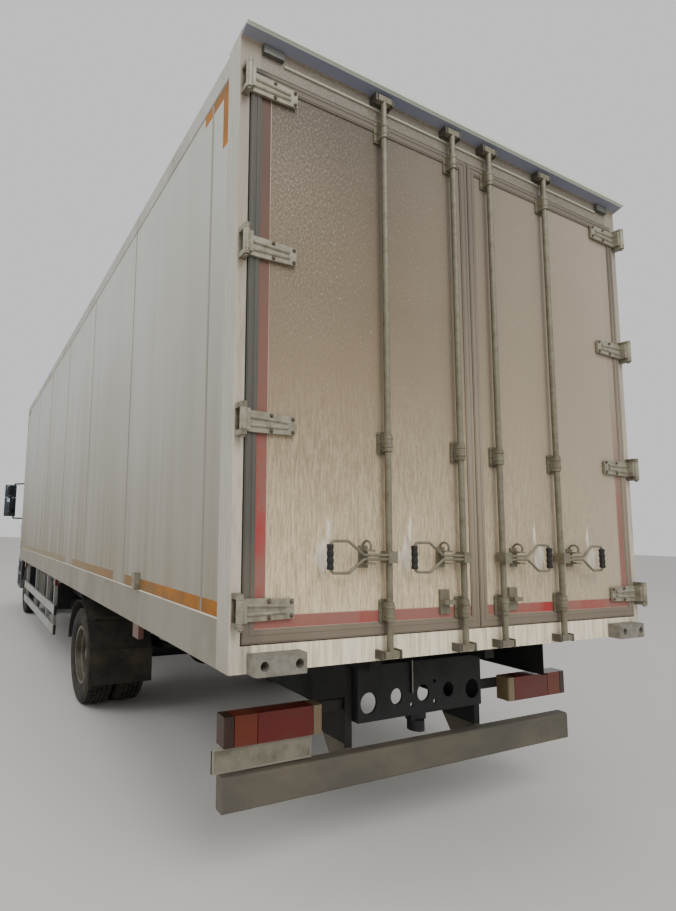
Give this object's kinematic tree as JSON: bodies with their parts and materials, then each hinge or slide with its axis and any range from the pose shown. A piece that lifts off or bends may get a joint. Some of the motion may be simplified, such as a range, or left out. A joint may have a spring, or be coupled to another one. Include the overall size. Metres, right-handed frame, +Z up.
{
  "type": "refrigerated truck",
  "caption": "Refrigerated box truck: day cab over a channel frame, insulated body with twin rear doors on lock rods, cooling unit on the front wall and twin rear wheels.",
  "frame": {"origin": "bottom centre of the whole truck's bounding box, on the ground", "axes": "+Z up, +Y towards the truck's rear, +X towards the truck's left side"},
  "size_m": [2.95, 9.374, 3.5098],
  "materials": {
    "black chassis paint": "satin",
    "black axle paint": "matte",
    "bare steel shaft": "satin",
    "cast engine iron": "matte",
    "aluminium tank": "satin",
    "black plastic box": "matte",
    "dull steel silencer": "matte",
    "anodised aluminium guard": "satin",
    "dusty grey bar paint": "matte",
    "red lamp plastic": "gloss",
    "black mudguard plastic": "matte",
    "grey bumper plastic": "satin",
    "clear lamp plastic": "gloss",
    "floor resin": "matte",
    "side panel gelcoat": "satin",
    "cream frame paint": "satin",
    "aluminium rail": "satin",
    "grey buffer rubber": "matte",
    "dark lamp plastic": "gloss",
    "white unit plastic": "satin",
    "zinc plated steel": "satin",
    "dusty door gelcoat": "matte",
    "door seal rubber": "matte",
    "white cab paint": "gloss",
    "cab glass": "gloss",
    "black mirror plastic": "satin",
    "seat cloth": "matte",
    "dark dashboard plastic": "matte",
    "dark grille plastic": "satin",
    "tyre rubber": "matte",
    "white rim paint": "satin"
  },
  "bodies": {
    "chassis": {"chassis_frame": "black chassis paint", "engine_block": "cast engine iron", "front_axle": "black axle paint", "rear_axle": "black axle paint", "propeller_shaft": "bare steel shaft", "fuel_tank": "aluminium tank", "battery_box": "black plastic box", "exhaust_silencer": "dull steel silencer", "side_guards": "anodised aluminium guard", "underrun_bar": "dusty grey bar paint", "tail_lamps": "red lamp plastic", "rear_mudguards": "black mudguard plastic", "front_mudguards": "black mudguard plastic", "front_bumper": "grey bumper plastic", "headlamps": "clear lamp plastic", "cab_steps": "grey bumper plastic", "subframe": "black chassis paint", "box_floor": "floor resin", "side_wall_left": "side panel gelcoat", "side_wall_right": "side panel gelcoat", "front_wall": "side panel gelcoat", "box_roof": "side panel gelcoat", "rear_frame": "cream frame paint", "box_rails": "aluminium rail", "dock_buffers": "grey buffer rubber", "marker_lamps": "dark lamp plastic", "cooling_unit": "white unit plastic", "body_fittings": "zinc plated steel"},
    "rear_door_left": {"rear_door_left": "dusty door gelcoat", "door_seal_left": "door seal rubber", "lock_gear_left": "zinc plated steel"},
    "rear_door_right": {"rear_door_right": "dusty door gelcoat", "door_seal_right": "door seal rubber", "lock_gear_right": "zinc plated steel"},
    "cab": {"cab_shell": "white cab paint", "windscreen": "cab glass", "mirrors": "black mirror plastic", "cab_seats": "seat cloth", "dashboard": "dark dashboard plastic", "grille_panel": "dark grille plastic"},
    "cab_door_left": {"cab_door_left": "white cab paint", "door_glass_left": "cab glass"},
    "cab_door_right": {"cab_door_right": "white cab paint", "door_glass_right": "cab glass"},
    "knuckle_left": {"knuckle_left": "black axle paint"},
    "knuckle_right": {"knuckle_right": "black axle paint"},
    "tie_rod": {"tie_rod": "black axle paint"},
    "wheel_front_left": {"tyre_front_left": "tyre rubber", "rim_front_left": "white rim paint"},
    "wheel_front_right": {"tyre_front_right": "tyre rubber", "rim_front_right": "white rim paint"},
    "wheels_rear_left": {"tyres_rear_left": "tyre rubber", "rims_rear_left": "white rim paint"},
    "wheels_rear_right": {"tyres_rear_right": "tyre rubber", "rims_rear_right": "white rim paint"}
  },
  "joints": [
    {"name": "rear_door_left_hinge", "type": "hinge", "parent": "chassis", "child": "rear_door_left", "pos_m": [1.28, 4.666, 2.2], "axis": [0, 0, -1], "range_deg": [0, 250]},
    {"name": "rear_door_right_hinge", "type": "hinge", "parent": "chassis", "child": "rear_door_right", "pos_m": [-1.28, 4.666, 2.2], "axis": [0, 0, 1], "range_deg": [0, 250]},
    {"name": "cab_tilt", "type": "hinge", "parent": "chassis", "child": "cab", "pos_m": [0, -4.54, 0.5], "axis": [1, 0, 0], "range_deg": [0, 50]},
    {"name": "cab_door_left_hinge", "type": "hinge", "parent": "cab", "child": "cab_door_left", "pos_m": [1.152, -4.437, 1.3], "axis": [0, 0, -1], "range_deg": [0, 70]},
    {"name": "cab_door_right_hinge", "type": "hinge", "parent": "cab", "child": "cab_door_right", "pos_m": [-1.152, -4.437, 1.3], "axis": [0, 0, 1], "range_deg": [0, 70]},
    {"name": "steer_left", "type": "hinge", "parent": "chassis", "child": "knuckle_left", "pos_m": [0.83, -3.445, 0.395], "axis": [0, 0, 1], "range_deg": [-35, 35]},
    {"name": "steer_right", "type": "hinge", "parent": "chassis", "child": "knuckle_right", "pos_m": [-0.83, -3.445, 0.395], "axis": [0, 0, 1], "range_deg": [-35, 35]},
    {"name": "tie_rod_pivot", "type": "hinge", "parent": "knuckle_left", "child": "tie_rod", "pos_m": [0.83, -3.265, 0.29], "axis": [0, 0, 1], "range_deg": [-35, 35]},
    {"name": "wheel_front_left_spin", "type": "hinge", "parent": "knuckle_left", "child": "wheel_front_left", "pos_m": [1, -3.445, 0.395], "axis": [1, 0, 0], "continuous": true},
    {"name": "wheel_front_right_spin", "type": "hinge", "parent": "knuckle_right", "child": "wheel_front_right", "pos_m": [-1, -3.445, 0.395], "axis": [1, 0, 0], "continuous": true},
    {"name": "wheels_rear_left_spin", "type": "hinge", "parent": "chassis", "child": "wheels_rear_left", "pos_m": [1.083, 1.655, 0.395], "axis": [1, 0, 0], "continuous": true},
    {"name": "wheels_rear_right_spin", "type": "hinge", "parent": "chassis", "child": "wheels_rear_right", "pos_m": [-1.083, 1.655, 0.395], "axis": [1, 0, 0], "continuous": true}
  ],
  "couplings": [
    {"joint": "steer_right", "follows": "steer_left", "ratio": 1},
    {"joint": "tie_rod_pivot", "follows": "steer_left", "ratio": -1}
  ]
}
